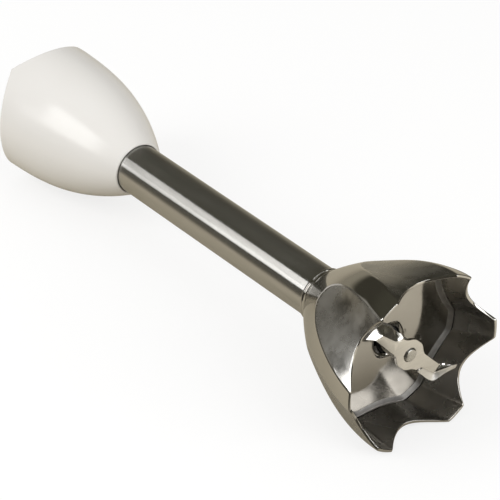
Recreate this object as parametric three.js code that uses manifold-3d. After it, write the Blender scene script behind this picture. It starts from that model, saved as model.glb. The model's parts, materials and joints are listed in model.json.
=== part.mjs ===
// Blending attachment of an immersion blender: a steel bell with six scalloped tips,
// a steel tube, and a moulded collar that plugs onto the motor unit. Millimetres.
//
// Every piece is described upright, with z measured from the plane of the bell's tips
// up the drive shaft's axis. The whole assembly is then laid on its side, bell towards
// +X, resting on two tips and on the collar, with its box centred on the origin.
import * as THREE from 'three';
import { mergeVertices } from 'three/addons/utils/BufferGeometryUtils.js';
import Module from 'manifold-3d';

const wasm = await Module();
wasm.setup();

const rad = THREE.MathUtils.degToRad;

// ---- driving dimensions ---------------------------------------------------------

const GAP = 0.3; // between fixed pieces that meet
const RUN = 0.05; // radial clearance of a running fit

// bell
const BELL_R = 33; // at the tips
const BELL_H = 49.4; // height of the steel dome
const DOME_APEX = 61.3; // where the dome's curve would reach the axis
const DOME_POWER = 1.85;
const BELL_WALL = 1.1;
const TIPS = 6;
const TIP_HALF = rad(6.675); // half the width of a flat tip
const FIRST_TIP = rad(43.25); // direction of the first tip
const TWIST = rad(0.42); // the ribs turn by this much for each mm of height
const SCALLOP = 6.4; // depth of the arch between two tips
const SCALLOP_FADE = 22; // the scallops no longer lift the wall above this height
const FACET_H = 36.7; // apex of the arch-shaped facets
const FACET_DEPTH = 4; // how far a facet's middle is pressed in at the rim
const FACET_TAPER = rad(0.08); // a facet's half width lost for each mm of height

const CEILING_Z = 18; // plate that closes the bell above the blade
const CEILING_T = 1;
const CEILING_HOLE_R = 5.2;

// tube
const TUBE_R = 9.5;
const TUBE_WALL = 0.8;
const TUBE_BORE_R = TUBE_R - TUBE_WALL;
const TUBE_LOW = 22.4;
const TUBE_TOP = 172;
const PLUG_R = TUBE_BORE_R - GAP; // plugs that fill the tube's ends

// collar
const COLLAR_LOW = 158.3;
const COLLAR_CURVE_LOW = 157; // where the outer curve would start
const COLLAR_CURVE_H = 60;
const COLLAR_NECK_R = 9.6;
const COLLAR_R = 26;
const COLLAR_POWER = 2.25;
const COLLAR_WALL = 2.2;
const COLLAR_RIM = 212.4; // lowest point of the waved rim
const RIM_FADE_LOW = 188; // the rim's waves fade out down to this height
const RIM_PEAK = 6.9; // the four corners above the lowest point
const RIM_NARROW_DIP = 4.2; // dip between the two near corners, below the corners
const RIM_NARROW_DIR = rad(135);
const RIM_CORNER = rad(36); // from the narrow dip's middle to a corner

// drive line
const SHAFT_R = 2.5;
const SHAFT_LOW = 6.3;
const SHAFT_TOP = 189.9;
const GROOVE_R = 2.0; // circlip grooves
const BUSH_R = 4.5;
const BUSH_POCKET_R = BUSH_R + GAP;
const PIN_R = 1;
const PIN_Z = 186;
const COUPLING_R = 6.5;
const COUPLING_TOP = 195.5;

// blade
const BLADE_Z = 7; // underside
const BLADE_T = 1.3;
const WING_EDGE_T = 0.5; // thickness left at the ground edge

// screws
const SCREW_PCD_R = 12.3;
const SCREW_COUNT = 3;
const SCREW_R = 1.15;
const SCREW_HEAD_R = 2.5;

// lying pose
const DOWN_DIR = rad(313.25); // the side between two tips that faces the table
const LOW_TIP_R = BELL_R * Math.cos(Math.PI / TIPS - TIP_HALF); // tip corners below the axis
const TILT = Math.atan((LOW_TIP_R - COLLAR_R) / (COLLAR_RIM + 1));

// ---- materials ------------------------------------------------------------------

const finish = (color, roughness, metalness) => () =>
	new THREE.MeshStandardMaterial({ color, roughness, metalness });
const polishedSteel = finish(0xb9b5ac, 0.12, 1);
const brushedSteel = finish(0xb4b0a8, 0.28, 1);
const bladeSteel = finish(0xc6c2b8, 0.3, 1);
const springSteel = finish(0x5a5a5c, 0.35, 1);
const bronze = finish(0xa5794a, 0.45, 1);
const whitePlastic = finish(0xf1f0ee, 0.18, 0);
const greyPlastic = finish(0xc9cacc, 0.45, 0);
const blackPlastic = finish(0x26272a, 0.5, 0);
const rubber = finish(0x18181a, 0.8, 0);

// ---- solids ---------------------------------------------------------------------

const ROUND = 40; // sides of a large round piece
const SMALL_ROUND = 24; // sides of a small one

// Turned piece: points are [radius, height], anticlockwise, closed on themselves
// unless they start and end on the axis.
function turned(points, segments = ROUND) {
	const profile = points.map(([r, z]) => new THREE.Vector2(r, z));
	const onAxis = points[0][0] === 0 && points.at(-1)[0] === 0;
	if (!onAxis) profile.push(profile[0].clone());
	return new THREE.LatheGeometry(profile, segments).rotateX(Math.PI / 2);
}

const ring = (inner, outer, low, high, segments) =>
	turned([[inner, low], [outer, low], [outer, high], [inner, high]], segments);

function cylinder(r, low, high, segments = 16) {
	const body = new THREE.CylinderGeometry(r, r, high - low, segments);
	return body.rotateX(Math.PI / 2).translate(0, 0, (low + high) / 2);
}

function block(width, depth, low, high) {
	return new THREE.BoxGeometry(width, depth, high - low).translate(0, 0, (low + high) / 2);
}

function extruded(shape, low, high, curveSegments = 8) {
	const options = { depth: high - low, bevelEnabled: false, curveSegments };
	return new THREE.ExtrudeGeometry(shape, options).translate(0, 0, low);
}

function toSolid(geometry) {
	const bare = geometry.clone();
	bare.deleteAttribute('normal');
	bare.deleteAttribute('uv');
	const merged = mergeVertices(bare, 1e-4);
	return new wasm.Manifold(new wasm.Mesh({
		numProp: 3,
		vertProperties: Float32Array.from(merged.attributes.position.array),
		triVerts: Uint32Array.from(merged.index.array),
	}));
}

function toGeometry(solid) {
	const mesh = solid.getMesh();
	const geometry = new THREE.BufferGeometry();
	geometry.setAttribute('position', new THREE.BufferAttribute(mesh.vertProperties, 3));
	geometry.setIndex(new THREE.BufferAttribute(mesh.triVerts, 1));
	geometry.computeVertexNormals();
	return geometry;
}

function cut(base, ...tools) {
	return toGeometry(tools.reduce((rest, tool) => rest.subtract(toSolid(tool)), toSolid(base)));
}

function join(base, ...extras) {
	return toGeometry(extras.reduce((sum, extra) => sum.add(toSolid(extra)), toSolid(base)));
}

// ---- bell -----------------------------------------------------------------------

const SECTOR = 2 * Math.PI / TIPS;
const FACET_HALF = SECTOR / 2 - TIP_HALF; // half width of a facet at the rim

const domeRadius = (z) => BELL_R * (1 - (Math.max(z, 0) / DOME_APEX) ** DOME_POWER);

function domeSlope(z) {
	const step = 0.01;
	return (domeRadius(z + step) - domeRadius(z)) / step;
}

const wallAcross = (z) => BELL_WALL * Math.hypot(1, domeSlope(z)); // the wall, measured radially

// Place across a facet, 0 at its middle and 1 at its edge, for an angle from the nearest tip.
const acrossFacet = (fromTip, halfWidth) =>
	Math.min(1, (SECTOR / 2 - Math.abs(fromTip)) / halfWidth);

function facetDepth(fromTip, z) {
	if (z >= FACET_H) return 0;
	const level = Math.max(z, 0) / FACET_H;
	const halfWidth = (FACET_HALF - FACET_TAPER * z) * Math.sqrt(1 - level ** 8);
	const depth = FACET_DEPTH * (1 - level ** 2.2);
	return depth * (1 - acrossFacet(fromTip, halfWidth) ** 2);
}

const rimLift = (fromTip) => SCALLOP * (1 - acrossFacet(fromTip, FACET_HALF) ** 2);

function lifted(z, fromTip) {
	const fade = Math.max(0, 1 - z / SCALLOP_FADE);
	return z + rimLift(fromTip) * fade ** 2;
}

const BELL_SEGMENTS = 60;
const EVEN_STEP = 2 * Math.PI / BELL_SEGMENTS;

// Evenly turned angles become angles from the nearest tip, with one step at the tip's corner.
function spreadFromTip(even) {
	const size = Math.abs(even);
	if (size <= EVEN_STEP) return even * TIP_HALF / EVEN_STEP;
	const share = (size - EVEN_STEP) / (SECTOR / 2 - EVEN_STEP);
	return Math.sign(even) * (TIP_HALF + share * FACET_HALF);
}

// Presses the facets and cuts the scallops of a turned dome, and twists it.
function pressed(geometry) {
	const place = geometry.attributes.position;
	for (let i = 0; i < place.count; i++) {
		const turn = Math.atan2(place.getY(i), place.getX(i));
		const tip = Math.round(turn / SECTOR);
		const fromTip = spreadFromTip(turn - tip * SECTOR);
		const offset = domeRadius(place.getZ(i)) - Math.hypot(place.getX(i), place.getY(i));
		const z = lifted(place.getZ(i), fromTip);
		const r = domeRadius(z) - facetDepth(fromTip, z) - offset;
		const angle = FIRST_TIP + tip * SECTOR + fromTip + TWIST * z;
		place.setXYZ(i, r * Math.cos(angle), r * Math.sin(angle), z);
	}
	return geometry;
}

function guardBell() {
	const levels = [0, 5, 11, 17, 23, 28, 32, 35, FACET_H, 41, 45.5, BELL_H];
	const outside = levels.map((z) => [domeRadius(z), z]);
	const inside = levels.slice(0, -1).map((z) => [domeRadius(z) - wallAcross(z), z]);
	const lip = [TUBE_R + GAP, BELL_H];
	return pressed(turned([...outside, lip, ...inside.reverse()], BELL_SEGMENTS));
}

// Plate with the bell's inner outline, which closes the bell above the blade.
function ceilingPlate() {
	const top = CEILING_Z + CEILING_T;
	const outline = [];
	for (let i = 0; i < BELL_SEGMENTS; i++) {
		const tip = Math.round(i * EVEN_STEP / SECTOR);
		const fromTip = spreadFromTip(i * EVEN_STEP - tip * SECTOR);
		const r = domeRadius(top) - facetDepth(fromTip, top) - wallAcross(top) - GAP - RUN;
		const angle = FIRST_TIP + tip * SECTOR + fromTip + TWIST * (CEILING_Z + CEILING_T / 2);
		outline.push(new THREE.Vector2(r * Math.cos(angle), r * Math.sin(angle)));
	}
	const shape = new THREE.Shape(outline);
	shape.holes.push(new THREE.Path().absarc(0, 0, CEILING_HOLE_R, 0, 2 * Math.PI, true));
	return extruded(shape, CEILING_Z, top, 16);
}

const NECK_LOW = BELL_H + GAP;

function neckRing() {
	const bore = TUBE_R + GAP;
	return turned([
		[bore, NECK_LOW], [10.3, NECK_LOW], [10.3, NECK_LOW + 0.9], [10.05, NECK_LOW + 1.1],
		[10.05, NECK_LOW + 1.4], [10.3, NECK_LOW + 1.6], [10.2, NECK_LOW + 2.5], [bore, NECK_LOW + 2.5],
	]);
}

// ---- collar ---------------------------------------------------------------------

function collarRadius(z) {
	const rest = Math.max(0, 1 - (z - COLLAR_CURVE_LOW) / COLLAR_CURVE_H);
	return COLLAR_NECK_R + (COLLAR_R - COLLAR_NECK_R) * (1 - rest ** COLLAR_POWER);
}

// Height of the waved rim above its lowest point: two narrow dips and two wide ones,
// with a corner where they meet.
function rimWave(angle) {
	const half = Math.PI / 2;
	const fromNarrow = Math.abs(((angle - RIM_NARROW_DIR) % Math.PI + 3 * half) % Math.PI - half);
	if (fromNarrow <= RIM_CORNER) {
		return RIM_PEAK - RIM_NARROW_DIP * (1 - (fromNarrow / RIM_CORNER) ** 2);
	}
	return RIM_PEAK * ((half - fromNarrow) / (half - RIM_CORNER)) ** 2;
}

const OUTER_LEVELS = [COLLAR_LOW, 162, 166.5, 171, 176, 182, RIM_FADE_LOW, 196, 204, COLLAR_RIM];
const INNER_LEVELS = [COLLAR_RIM, 203, 194, 186, 179];
const O_RING_Z = 164.3;

function collarShell() {
	const bore = TUBE_R + GAP;
	const outside = OUTER_LEVELS.map((z) => [collarRadius(z), z]);
	const inside = INNER_LEVELS.map((z) => [collarRadius(z) - COLLAR_WALL, z]);
	const floor = [[collarRadius(TUBE_TOP) - COLLAR_WALL, TUBE_TOP], [bore, TUBE_TOP]];
	const groove = [[bore, O_RING_Z + 0.9], [11.3, O_RING_Z + 0.9], [11.3, O_RING_Z - 0.9],
		[bore, O_RING_Z - 0.9]];
	const shell = turned([...outside, ...inside, ...floor, ...groove, [bore, COLLAR_LOW]]);
	const place = shell.attributes.position;
	for (let i = 0; i < place.count; i++) {
		const share = (place.getZ(i) - RIM_FADE_LOW) / (COLLAR_RIM - RIM_FADE_LOW);
		const wave = rimWave(Math.atan2(place.getY(i), place.getX(i)));
		place.setZ(i, place.getZ(i) + wave * Math.max(0, share) ** 2);
	}
	return cut(shell, ...screwPlaces().map(([x, y]) =>
		cylinder(SCREW_R + GAP, TUBE_TOP - 5.5, TUBE_TOP + 1).translate(x, y, 0)));
}

const LINER_R = 18.6;
const LINER_BORE_R = 17.2;
const LINER_TOP = 208;
const LINER_LEDGE_R = 23;

// Socket that takes the motor unit's nose: a sleeve with a ledge, two keys and two latch windows.
function socketLiner() {
	const sleeve = turned([
		[LINER_BORE_R, 182.5], [LINER_R, 182.5], [LINER_R, LINER_TOP - 1.8],
		[LINER_LEDGE_R, LINER_TOP - 1.8], [LINER_LEDGE_R, LINER_TOP], [LINER_BORE_R + 0.6, LINER_TOP],
		[LINER_BORE_R, LINER_TOP - 0.6],
	]);
	const keys = [];
	const windows = [];
	for (const side of [0, Math.PI]) {
		const key = block(1.6, 2, 185, LINER_TOP - 3).translate(LINER_BORE_R - 0.3, 0, 0);
		keys.push(key.rotateZ(RIM_NARROW_DIR + side));
		const window = block(6, 7.5, 195, 201).translate(LINER_R, 0, 0);
		windows.push(window.rotateZ(RIM_NARROW_DIR + Math.PI / 2 + side));
	}
	return cut(join(sleeve, ...keys), ...windows);
}

// ---- bearings and housings ------------------------------------------------------

function screwPlaces() {
	const places = [];
	for (let i = 0; i < SCREW_COUNT; i++) {
		const angle = rad(15) + i * 2 * Math.PI / SCREW_COUNT;
		places.push([SCREW_PCD_R * Math.cos(angle), SCREW_PCD_R * Math.sin(angle)]);
	}
	return places;
}

const FLANGE_LOW = TUBE_TOP + GAP;
const FLANGE_TOP = FLANGE_LOW + 3;
const BOSS_TOP = 178.5;
const SHAFT_PASSAGE_R = 3.6;

function upperHousing() {
	const plug = turned([
		[SHAFT_PASSAGE_R, 158.5], [PLUG_R, 158.5], [PLUG_R, FLANGE_LOW], [15, FLANGE_LOW],
		[15, FLANGE_TOP], [7.2, FLANGE_TOP], [7.2, BOSS_TOP], [BUSH_POCKET_R, BOSS_TOP],
		[BUSH_POCKET_R, 166], [SHAFT_PASSAGE_R, 166],
	], SMALL_ROUND);
	return cut(plug, ...screwPlaces().map(([x, y]) =>
		cylinder(SCREW_R + GAP, FLANGE_LOW - 1, FLANGE_TOP + 1).translate(x, y, 0)));
}

function flangeScrew() {
	const head = FLANGE_TOP + GAP;
	const blank = turned([
		[0, TUBE_TOP - 5], [SCREW_R, TUBE_TOP - 5], [SCREW_R, head], [SCREW_HEAD_R, head],
		[SCREW_HEAD_R, head + 1], [1.6, head + 1.7], [0, head + 1.7],
	], 16);
	const slots = [block(2.8, 0.6, head + 0.8, head + 2), block(0.6, 2.8, head + 0.8, head + 2)];
	return cut(blank, ...slots);
}

const DISC_LOW = CEILING_Z + CEILING_T + 0.4;
const SEAL_POCKET_R = 4.9;
const SEAL_POCKET_TOP = 21.8;
const WEB_R = 3.7;

function lowerHousing() {
	return turned([
		[SEAL_POCKET_R, DISC_LOW], [21.3, DISC_LOW], [21.3, TUBE_LOW - GAP],
		[PLUG_R, TUBE_LOW - GAP], [PLUG_R, 46], [BUSH_POCKET_R, 46],
		[BUSH_POCKET_R, TUBE_LOW], [WEB_R, TUBE_LOW], [WEB_R, SEAL_POCKET_TOP],
		[SEAL_POCKET_R, SEAL_POCKET_TOP],
	], SMALL_ROUND);
}

const SPACER_NOSE_R = 3.4;

function lipSeal() {
	const running = SPACER_NOSE_R + RUN;
	return turned([
		[running, 18.6], [running + 0.5, 18.3], [4.3, 18.3], [4.6, 18.6],
		[4.6, SEAL_POCKET_TOP - GAP], [running + 0.4, SEAL_POCKET_TOP - GAP], [running, 20],
	], SMALL_ROUND);
}

// Flanged sleeve around the shaft that steadies it half way up the tube.
function steadyBush() {
	const low = 98;
	const high = 108;
	const bore = SHAFT_R + RUN;
	return turned([
		[bore, low], [4.2, low], [4.2, low + 3.5], [7.2, low + 3.5], [7.2, low], [PLUG_R, low],
		[PLUG_R, high], [7.2, high], [7.2, high - 3.5], [4.2, high - 3.5], [4.2, high], [bore, high],
	], SMALL_ROUND);
}

const bush = (low, high) => ring(SHAFT_R + RUN, BUSH_R, low, high, SMALL_ROUND);

// Open spring ring in a groove of the shaft.
function circlip(low) {
	const shape = new THREE.Shape();
	shape.absarc(0, 0, 4, rad(25), rad(335), false);
	shape.absarc(0, 0, GROOVE_R + GAP, rad(325), rad(35), true);
	return extruded(shape, low, low + 0.8, 10);
}

// ---- drive line -----------------------------------------------------------------

const crossHole = () => cylinder(PIN_R + GAP, -9, 9).rotateX(Math.PI / 2).translate(0, 0, PIN_Z);

const LOWER_GROOVE = 35.1;
const UPPER_GROOVE = 179.7;
const GROOVE_W = 1.4;

function driveShaft() {
	const grooves = [LOWER_GROOVE, UPPER_GROOVE].flatMap((z) =>
		[[SHAFT_R, z], [GROOVE_R, z], [GROOVE_R, z + GROOVE_W], [SHAFT_R, z + GROOVE_W]]);
	const shaft = turned([
		[0, SHAFT_LOW], [SHAFT_R - 0.3, SHAFT_LOW], [SHAFT_R, SHAFT_LOW + 0.3], ...grooves,
		[SHAFT_R, SHAFT_TOP - 0.4], [SHAFT_R - 0.4, SHAFT_TOP], [0, SHAFT_TOP],
	], SMALL_ROUND);
	return cut(shaft, crossHole());
}

// Coupling with a cross-shaped dog socket for the motor's driver.
function driveCoupling() {
	const low = 181.6;
	const bore = SHAFT_R + GAP;
	const body = turned([
		[bore, low], [COUPLING_R - 0.5, low], [COUPLING_R, low + 0.5], [COUPLING_R, COUPLING_TOP - 0.7],
		[COUPLING_R - 0.7, COUPLING_TOP], [2, COUPLING_TOP], [2, SHAFT_TOP + GAP],
		[bore, SHAFT_TOP + GAP],
	], SMALL_ROUND);
	const dogs = [block(2.6, 11, COUPLING_TOP - 4.5, COUPLING_TOP + 1),
		block(11, 2.6, COUPLING_TOP - 4.5, COUPLING_TOP + 1)];
	return cut(body, crossHole(), ...dogs);
}

const couplingPin = () => cylinder(PIN_R, -5.7, 5.7).rotateX(Math.PI / 2).translate(0, 0, PIN_Z);

function bladeSpacer() {
	const bore = SHAFT_R + GAP;
	const low = BLADE_Z + BLADE_T + GAP;
	return turned([
		[bore, low], [4, low], [4, 17.6], [SPACER_NOSE_R, 17.9], [SPACER_NOSE_R, TUBE_LOW],
		[bore, TUBE_LOW],
	], SMALL_ROUND);
}

// Closed sheet between two lines of points, thinner along the outer one.
function ruledSheet(inner, outer, thick, thin) {
	const corners = [];
	inner.forEach((start, i) => {
		const end = outer[i];
		corners.push([start[0], start[1], start[2] - thick / 2], [end[0], end[1], end[2] - thin / 2],
			[end[0], end[1], end[2] + thin / 2], [start[0], start[1], start[2] + thick / 2]);
	});
	const index = [];
	const quad = (a, b, c, d) => index.push(a, b, c, a, c, d);
	const last = 4 * (inner.length - 1);
	for (let i = 0; i < last; i += 4) {
		quad(i, i + 1, i + 5, i + 4);
		quad(i + 1, i + 2, i + 6, i + 5);
		quad(i + 3, i + 7, i + 6, i + 2);
		quad(i + 3, i, i + 4, i + 7);
	}
	quad(3, 2, 1, 0);
	quad(last, last + 1, last + 2, last + 3);
	const sheet = new THREE.BufferGeometry();
	sheet.setAttribute('position', new THREE.Float32BufferAttribute(corners.flat(), 3));
	sheet.setIndex(index);
	return sheet;
}

// One arm's outline, from the hub out along -y and back, and its bent wing.
const ARM = [
	[-5.4, 2.4], [-5.4, -2.4], [-3.7, -5.1], [-2.9, -6], [-2.95, -19], [-0.2, -18.1],
	[1.5, -13.5], [2.9, -8.3], [2.9, -6], [3.7, -5.1],
];
const FOLD = [[2.4, -8], [1.7, -10.5], [0.9, -13.5], [-0.6, -17.6], [-2.6, -18.4]];
const WING_EDGE = [
	[3.4, -9.2, -0.5], [4.1, -12.2, -2], [3.8, -16.2, -3.3], [-0.4, -19.6, -3.6], [-4.8, -21.4, -3.6],
];

const turnedHalf = ([x, y, ...z]) => [-x, -y, ...z];

function blade() {
	const outline = [...ARM, ...ARM.map(turnedHalf)];
	const shape = new THREE.Shape(outline.map(([x, y]) => new THREE.Vector2(x, y)));
	shape.holes.push(new THREE.Path().absarc(0, 0, SHAFT_R + GAP, 0, 2 * Math.PI, true));
	const plate = extruded(shape, BLADE_Z, BLADE_Z + BLADE_T, 16);
	const middle = BLADE_Z + BLADE_T / 2;
	const lowFold = FOLD.map(([x, y]) => [x, y, middle]);
	const lowEdge = WING_EDGE.map(([x, y, drop]) => [x, y, middle + drop]);
	const root = BLADE_T - 0.2;
	const lowWing = ruledSheet(lowFold, lowEdge, root, WING_EDGE_T);
	const flip = ([x, y, z]) => [-x, -y, 2 * middle - z];
	const highWing = ruledSheet(lowFold.map(flip), lowEdge.map(flip), root, WING_EDGE_T);
	return join(plate, lowWing, highWing);
}

// ---- assembly -------------------------------------------------------------------

const upright = new THREE.Group();

function add(name, geometry, material) {
	const mesh = new THREE.Mesh(geometry, material());
	mesh.name = name;
	upright.add(mesh);
	return mesh;
}

add('guard_bell', guardBell(), polishedSteel);
add('bell_ceiling', ceilingPlate(), polishedSteel);
add('neck_ring', neckRing(), polishedSteel);
add('shaft_tube', ring(TUBE_BORE_R, TUBE_R, TUBE_LOW, TUBE_TOP), brushedSteel);

add('collar_shell', collarShell(), whitePlastic);
add('socket_liner', socketLiner(), whitePlastic);
add('tube_o_ring', new THREE.TorusGeometry(10.4, 0.6, 6, SMALL_ROUND).translate(0, 0, O_RING_Z), rubber);

add('upper_housing', upperHousing(), greyPlastic);
add('upper_bush', bush(166.3, 177.5), bronze);
screwPlaces().forEach(([x, y], i) => {
	add(`flange_screw_${i + 1}`, flangeScrew(), brushedSteel).position.set(x, y, 0);
});

add('lower_housing', lowerHousing(), blackPlastic);
add('lower_bush', bush(TUBE_LOW + GAP, 34), bronze);
add('lip_seal', lipSeal(), rubber);
add('steady_bush', steadyBush(), greyPlastic);

add('drive_shaft', driveShaft(), bladeSteel);
add('drive_coupling', driveCoupling(), blackPlastic);
add('coupling_pin', couplingPin(), springSteel);
add('upper_washer', ring(SHAFT_R + GAP, 5.5, BOSS_TOP + GAP, UPPER_GROOVE - 0.2, SMALL_ROUND), bladeSteel);
add('upper_circlip', circlip(UPPER_GROOVE + GAP), springSteel);
add('lower_washer', ring(SHAFT_R + GAP, 4.4, 34.3, LOWER_GROOVE - 0.1, SMALL_ROUND), bladeSteel);
add('lower_circlip', circlip(LOWER_GROOVE + GAP), springSteel);
add('blade_spacer', bladeSpacer(), bladeSteel);
add('blade', blade(), bladeSteel);

// Laid down: the axis turns from +Z to -X with the table side down, then tilts until the
// collar touches too.
upright.rotation.set(0, -Math.PI / 2 - TILT, Math.PI - DOWN_DIR);

const blendingAttachment = new THREE.Group();
blendingAttachment.add(upright);
const box = new THREE.Box3().setFromObject(blendingAttachment, true);
const middle = box.getCenter(new THREE.Vector3());
upright.position.set(-middle.x, -middle.y, -box.min.z);

export default blendingAttachment;
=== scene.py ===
"""The looks of an immersion blender's blending attachment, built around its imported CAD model.

Every piece is drawn in the part's own upright frame, in millimetres: z runs from the plane of
the bell's tips up the drive shaft. The frame's joint says how that lies in the row frame.
"""

import json
import math

import bpy
import numpy as np
from mathutils import Matrix, Vector


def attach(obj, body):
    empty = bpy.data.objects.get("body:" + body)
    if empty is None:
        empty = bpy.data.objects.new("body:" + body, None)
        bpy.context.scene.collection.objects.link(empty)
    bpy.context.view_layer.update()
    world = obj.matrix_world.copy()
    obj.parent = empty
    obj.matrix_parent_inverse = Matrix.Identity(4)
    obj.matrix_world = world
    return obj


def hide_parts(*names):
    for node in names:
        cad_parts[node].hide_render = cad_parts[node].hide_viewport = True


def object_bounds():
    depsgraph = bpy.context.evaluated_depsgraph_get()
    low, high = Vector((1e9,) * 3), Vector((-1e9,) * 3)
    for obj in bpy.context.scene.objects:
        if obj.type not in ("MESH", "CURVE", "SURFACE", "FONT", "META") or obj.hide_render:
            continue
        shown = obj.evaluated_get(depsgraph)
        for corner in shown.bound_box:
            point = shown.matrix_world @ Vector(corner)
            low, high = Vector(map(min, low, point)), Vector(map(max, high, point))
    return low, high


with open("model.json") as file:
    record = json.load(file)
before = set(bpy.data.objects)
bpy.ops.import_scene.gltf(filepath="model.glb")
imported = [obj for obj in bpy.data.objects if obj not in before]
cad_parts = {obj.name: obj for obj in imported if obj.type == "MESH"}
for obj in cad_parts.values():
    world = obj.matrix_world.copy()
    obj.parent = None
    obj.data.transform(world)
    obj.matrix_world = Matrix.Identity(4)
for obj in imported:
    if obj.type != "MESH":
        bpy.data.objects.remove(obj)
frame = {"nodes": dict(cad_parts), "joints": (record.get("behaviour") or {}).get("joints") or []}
cad_box = [list(corner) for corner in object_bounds()]

rad = math.radians
MM = 0.001
HOLDER = "attachment_frame"
SPINNER = "blade_drive"

# ---- driving dimensions, as in the CAD source --------------------------------------------

GAP = 0.3  # between fixed pieces that meet
THIN_GAP = 0.05  # where one piece sits close on another

BELL_R = 33
BELL_H = 49.4
DOME_APEX = 61.3
DOME_POWER = 1.85
BELL_WALL = 1.1
TIPS = 6
SECTOR = 2 * math.pi / TIPS
TIP_HALF = rad(6.675)
FIRST_TIP = rad(43.25)
TWIST = rad(0.42)
SCALLOP = 6.4
SCALLOP_FADE = 22
FACET_H = 36.7
FACET_DEPTH = 4
FACET_TAPER = rad(0.08)
FACET_HALF = SECTOR / 2 - TIP_HALF
CREASE_W = 0.45
TIP_SOFTNESS = 0.03
BELL_COLUMNS = 540

CEILING_Z = 18
CEILING_T = 1
CEILING_HOLE_R = 5.2

TUBE_R = 9.5
TUBE_BORE_R = 8.7
TUBE_LOW = 22.4
TUBE_TOP = 172
PLUG_R = TUBE_BORE_R - GAP
NECK_LOW = BELL_H + GAP

COLLAR_LOW = 158.3
COLLAR_CURVE_LOW = 157
COLLAR_CURVE_H = 60
COLLAR_NECK_R = 9.6
COLLAR_R = 26
COLLAR_POWER = 2.25
COLLAR_WALL = 2.2
COLLAR_RIM = 212.4
RIM_FADE_LOW = 188
RIM_PEAK = 6.9
RIM_NARROW_DIP = 4.2
RIM_NARROW_DIR = rad(135)
RIM_CORNER = rad(36)

LINER_R = 18.6
LINER_BORE_R = 17.2
LINER_LOW = 182.5
LINER_TOP = 208
LINER_LEDGE_R = 23

SHAFT_R = 2.5
SHAFT_LOW = 6.3
SHAFT_TOP = 189.9
CIRCLIP_GROOVES = (35.1, 179.7)
PIN_Z = 186
COUPLING_R = 6.5
COUPLING_LOW = 181.6
COUPLING_TOP = 195.5
SCREW_PCD_R = 12.3
SCREW_COUNT = 3
SCREW_HEAD_R = 2.5
FLANGE_LOW = TUBE_TOP + GAP
FLANGE_TOP = FLANGE_LOW + 3
BOSS_TOP = 178.5

BLADE_Z = 7
BLADE_T = 1.3
WING_T = 1.2
WING_EDGE_T = 0.35
WEB_T = 0.5

DOWN_DIR = rad(313.25)  # the side that lies on the floor, about the upright frame's z


def upright_frame():
    """Origin and axes of the upright frame, from the blade's joint and the side that lies down."""
    spin = frame["joints"][0]
    up = -Vector(spin["axis"]).normalized()
    side = Vector((0.0, 1.0, 0.0))
    down = up.cross(side)
    x_axis = math.cos(DOWN_DIR) * down + math.sin(DOWN_DIR) * side
    y_axis = math.sin(DOWN_DIR) * down - math.cos(DOWN_DIR) * side
    return np.array(spin["pos_m"]), np.array([x_axis, y_axis, up])


ORIGIN, AXES = upright_frame()


def to_row(points):
    return ORIGIN + MM * np.asarray(points, float) @ AXES


# ---- camera, first -----------------------------------------------------------------------

VIEW_AZIMUTH = rad(50.893)
VIEW_ELEVATION = rad(34.4625)
VIEW_ROLL = rad(0.6756)
VIEW_DISTANCE = 0.841178
VIEW_AIM = Vector((0.010966, 0.005519, -0.009781))  # from the middle of the object's box
VIEW_LENS = 168.23
VIEW_SENSOR = 36.0


def add_camera():
    low, high = (Vector(corner) for corner in cad_box)
    target = (low + high) / 2 + VIEW_AIM
    flat = math.cos(VIEW_ELEVATION)
    forward = Vector((-math.sin(VIEW_AZIMUTH) * flat, math.cos(VIEW_AZIMUTH) * flat,
                      -math.sin(VIEW_ELEVATION)))
    level = Vector((math.cos(VIEW_AZIMUTH), math.sin(VIEW_AZIMUTH), 0.0))
    lifted = level.cross(forward)
    right = math.cos(VIEW_ROLL) * level + math.sin(VIEW_ROLL) * lifted
    up = right.cross(forward)
    data = bpy.data.cameras.new("photo_camera")
    data.lens = VIEW_LENS
    data.sensor_width = VIEW_SENSOR
    data.clip_start = 0.01
    data.clip_end = 50.0
    camera = bpy.data.objects.new("photo_camera", data)
    bpy.context.scene.collection.objects.link(camera)
    turn = Matrix((right, up, -forward)).transposed().to_4x4()
    camera.matrix_world = Matrix.Translation(target - VIEW_DISTANCE * forward) @ turn
    bpy.context.scene.camera = camera


add_camera()

# ---- mesh helpers ------------------------------------------------------------------------


def link_mesh(name, points, faces):
    mesh = bpy.data.meshes.new(name)
    mesh.from_pydata(to_row(points).tolist(), [], faces)
    mesh.update()
    piece = bpy.data.objects.new(name, mesh)
    bpy.context.scene.collection.objects.link(piece)
    return piece


def add_materials(piece, *keys):
    for key in keys:
        piece.data.materials.append(MATERIALS[key])


def dress(piece, body, slot, material, *nodes):
    """Smooth shading, material, body and the CAD nodes that the piece stands for. The slot argument
    is not used.
    """
    piece.data.polygons.foreach_set("use_smooth", [True] * len(piece.data.polygons))
    if not piece.data.materials:
        piece.data.materials.append(material)
    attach(piece, body)
    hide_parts(*nodes)
    return piece


def even_normals(piece):
    """Large faces keep their own direction, so that only the small rounded ones shade across."""
    weigh = piece.modifiers.new("even_normals", "WEIGHTED_NORMAL")
    weigh.mode = "FACE_AREA"
    weigh.keep_sharp = True


def grid_faces(rows, columns, close_rows=True, close_columns=True):
    """Quads between the rows and columns of a grid, whose points are listed row by row."""
    row_steps = rows if close_rows else rows - 1
    column_steps = columns if close_columns else columns - 1
    i, j = np.meshgrid(np.arange(row_steps), np.arange(column_steps), indexing="ij")
    here = i * columns
    above = (i + 1) % rows * columns
    beside = (j + 1) % columns
    quads = np.stack([here + j, here + beside, above + beside, above + j], axis=-1)
    return quads.reshape(-1, 4).tolist()


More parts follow.
